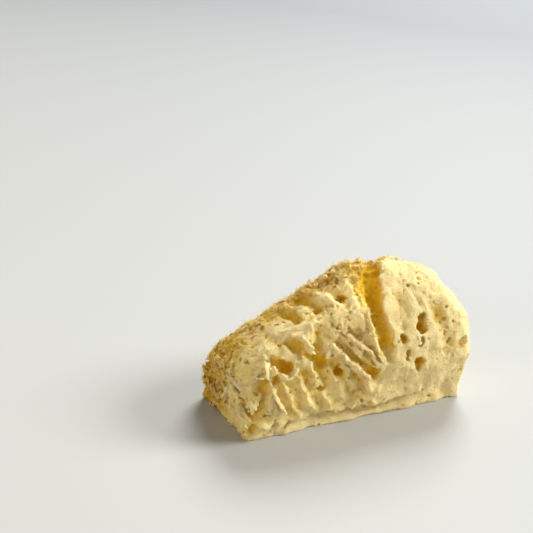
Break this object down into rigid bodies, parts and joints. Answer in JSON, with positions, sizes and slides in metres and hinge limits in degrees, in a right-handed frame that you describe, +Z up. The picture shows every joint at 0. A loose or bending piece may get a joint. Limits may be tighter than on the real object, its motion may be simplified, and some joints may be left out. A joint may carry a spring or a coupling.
{
  "type": "sea sponge",
  "caption": "Natural sea sponge piece with a gutter, canals and torn flutes on its front face, trimmed flat underneath to rest on a surface.",
  "frame": {"origin": "middle of the sponge's box, on its flat knife-cut base", "axes": "+Z up from the base, +X along the long side toward the tall end, the torn front face toward -Y"},
  "size_m": [0.0953, 0.0435, 0.0511],
  "materials": {
    "sponge": "matt, dry, felt-like spongin fibre, pale straw yellow with darker golden hollows"
  },
  "bodies": {
    "root": {"sponge": "sponge"}
  },
  "joints": []
}
